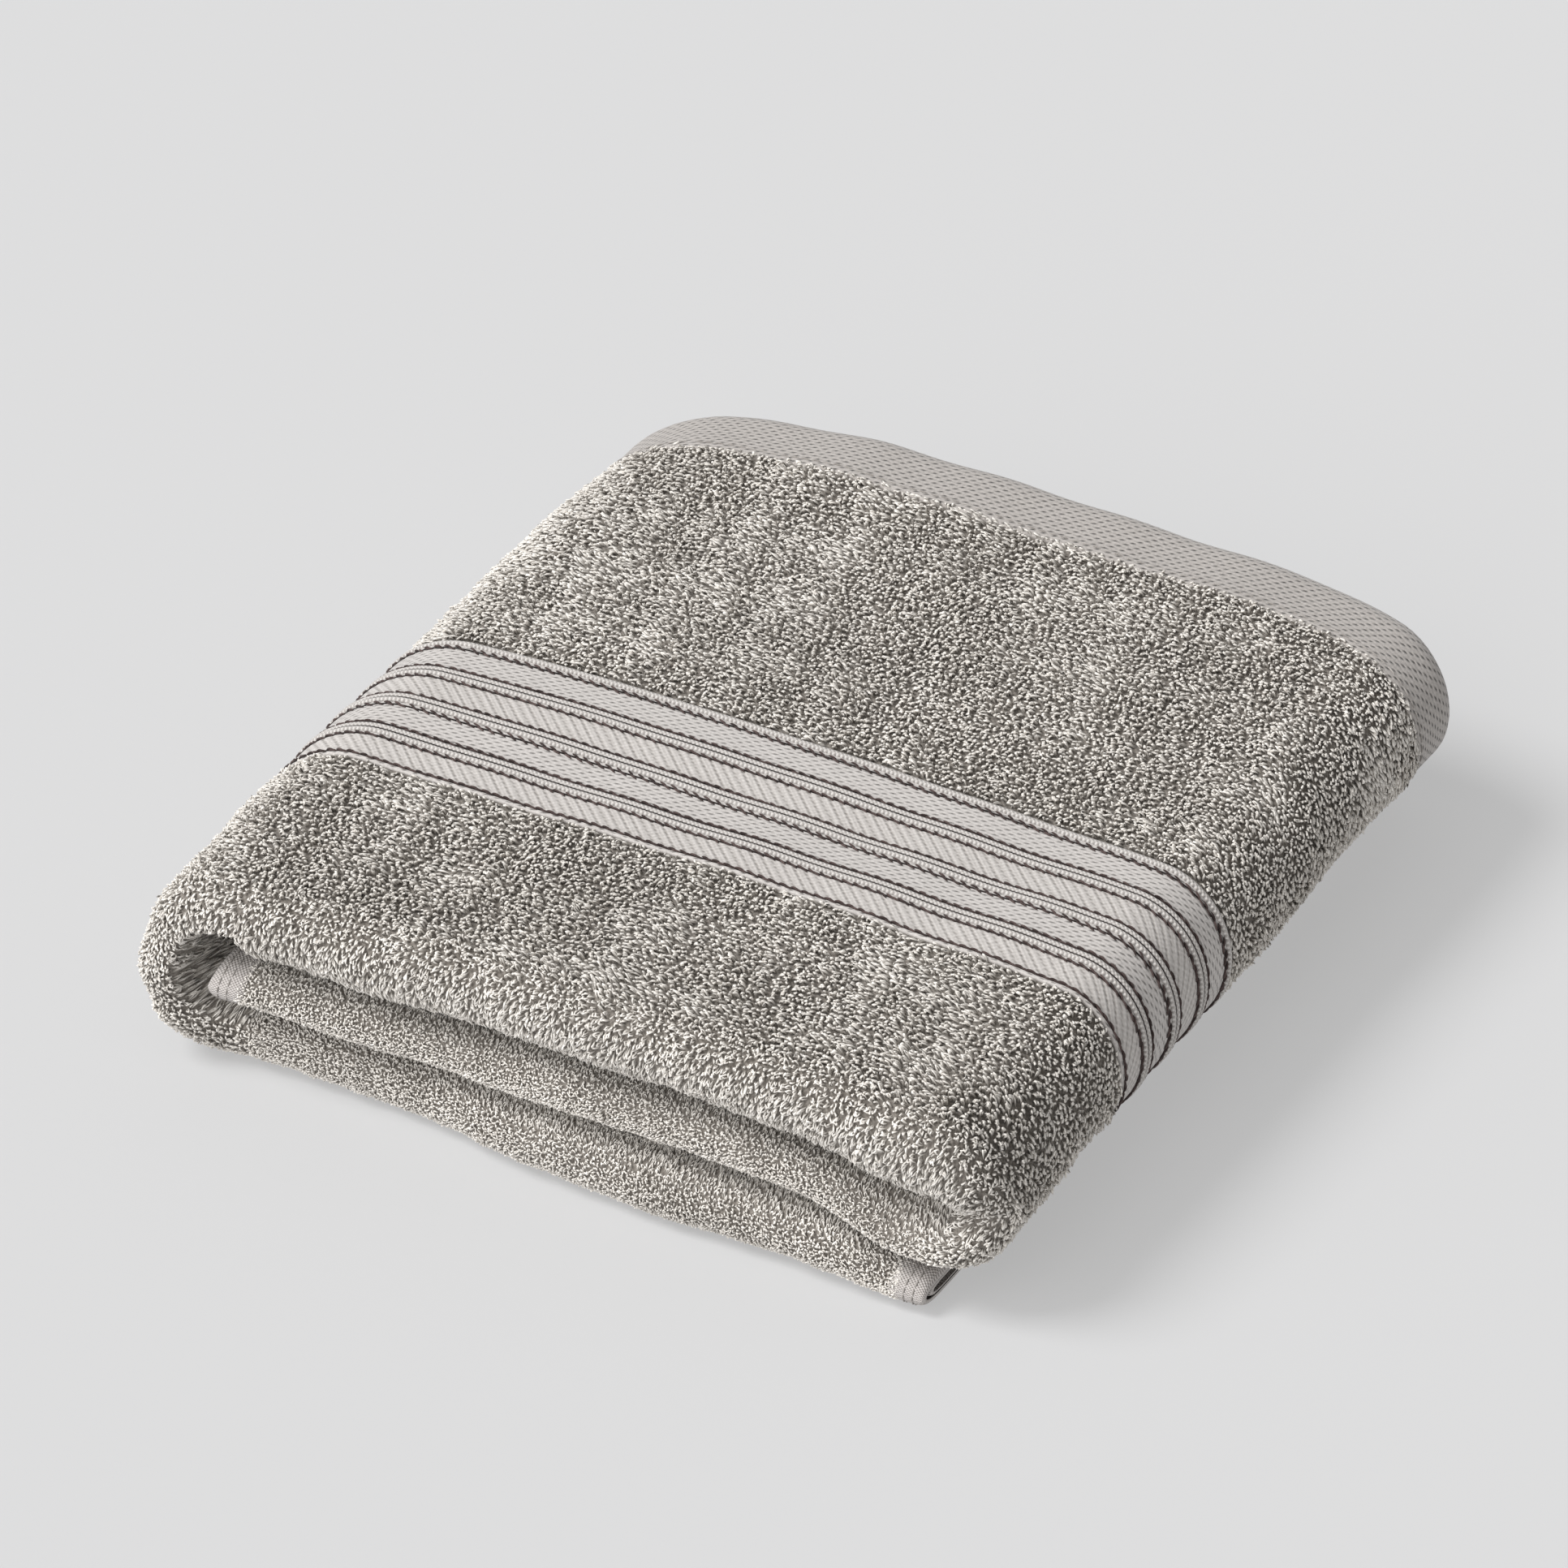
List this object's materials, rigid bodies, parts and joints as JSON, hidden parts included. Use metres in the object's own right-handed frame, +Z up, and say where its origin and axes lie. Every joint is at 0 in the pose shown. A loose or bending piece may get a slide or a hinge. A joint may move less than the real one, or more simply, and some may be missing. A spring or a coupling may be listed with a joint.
{
  "type": "folded bath towel",
  "caption": "Thick grey terry bath towel, folded in thirds both ways into a flat packet, with a ribbed dobby border and woven hems; its top opens like a book.",
  "frame": {"origin": "under the middle of the folded packet, on the surface it lies on", "axes": "+X across the thirds, from the folded left side to the right fold; +Y from the near fold to the far hemmed end; +Z up"},
  "size_m": [0.25, 0.2652, 0.06],
  "materials": {
    "terry_pile": "looped cotton pile, matt",
    "dobby_weave": "flat dobby weave, matt",
    "border_cord": "raised woven cord, matt",
    "dark_thread": "dark brown-grey thread, matt",
    "hem_weave": "flat woven hem, matt",
    "sewing_thread": "lockstitch thread"
  },
  "bodies": {
    "bottom_third": {"bottom_flap_border_band": "dobby_weave", "bottom_flap_border_cords": "border_cord", "bottom_flap_border_stitching": "dark_thread", "bottom_flap_end_hem": "hem_weave", "bottom_flap_end_hem_seam": "sewing_thread", "bottom_flap_second_end_hem": "hem_weave", "bottom_flap_side_hem": "hem_weave", "bottom_flap_side_hem_seam": "sewing_thread", "bottom_flap_terry": "terry_pile", "lower_bend_border_band": "dobby_weave", "lower_bend_border_cords": "border_cord", "lower_bend_border_stitching": "dark_thread", "lower_bend_end_hem": "hem_weave", "lower_bend_end_hem_seam": "sewing_thread", "lower_bend_second_end_hem": "hem_weave", "lower_bend_terry": "terry_pile"},
    "left_wrap": {"left_side_border_band": "dobby_weave", "left_side_border_cords": "border_cord", "left_side_border_stitching": "dark_thread", "left_side_end_hem": "hem_weave", "left_side_end_hem_seam": "sewing_thread", "left_side_second_end_hem": "hem_weave", "left_side_terry": "terry_pile"},
    "top_thirds": {"inner_flap_border_band": "dobby_weave", "inner_flap_border_cords": "border_cord", "inner_flap_border_stitching": "dark_thread", "inner_flap_end_hem": "hem_weave", "inner_flap_end_hem_seam": "sewing_thread", "inner_flap_second_end_hem": "hem_weave", "inner_flap_side_hem": "hem_weave", "inner_flap_side_hem_seam": "sewing_thread", "inner_flap_terry": "terry_pile", "right_fold_border_band": "dobby_weave", "right_fold_border_cords": "border_cord", "right_fold_border_stitching": "dark_thread", "right_fold_end_hem": "hem_weave", "right_fold_end_hem_seam": "sewing_thread", "right_fold_second_end_hem": "hem_weave", "right_fold_terry": "terry_pile", "top_panel_border_band": "dobby_weave", "top_panel_border_cords": "border_cord", "top_panel_border_stitching": "dark_thread", "top_panel_end_hem": "hem_weave", "top_panel_end_hem_seam": "sewing_thread", "top_panel_second_end_hem": "hem_weave", "top_panel_terry": "terry_pile", "upper_bend_border_band": "dobby_weave", "upper_bend_border_cords": "border_cord", "upper_bend_border_stitching": "dark_thread", "upper_bend_end_hem": "hem_weave", "upper_bend_end_hem_seam": "sewing_thread", "upper_bend_second_end_hem": "hem_weave", "upper_bend_terry": "terry_pile"}
  },
  "joints": [
    {"name": "wrap_unroll", "type": "hinge", "parent": "bottom_third", "child": "left_wrap", "pos_m": [-0.11071, 0, 0.01429], "axis": [0, -1, 0], "range_deg": [0, 90], "deforming": ["lower_bend_border_band", "lower_bend_border_cords", "lower_bend_border_stitching", "lower_bend_end_hem", "lower_bend_end_hem_seam", "lower_bend_second_end_hem", "lower_bend_terry"]},
    {"name": "top_open", "type": "hinge", "parent": "left_wrap", "child": "top_thirds", "pos_m": [-0.11071, 0, 0.04571], "axis": [0, -1, 0], "range_deg": [0, 90], "deforming": ["upper_bend_border_band", "upper_bend_border_cords", "upper_bend_border_stitching", "upper_bend_end_hem", "upper_bend_end_hem_seam", "upper_bend_second_end_hem", "upper_bend_terry"]}
  ],
  "couplings": [
    {"joint": "wrap_unroll", "follows": "top_open", "ratio": 1}
  ]
}
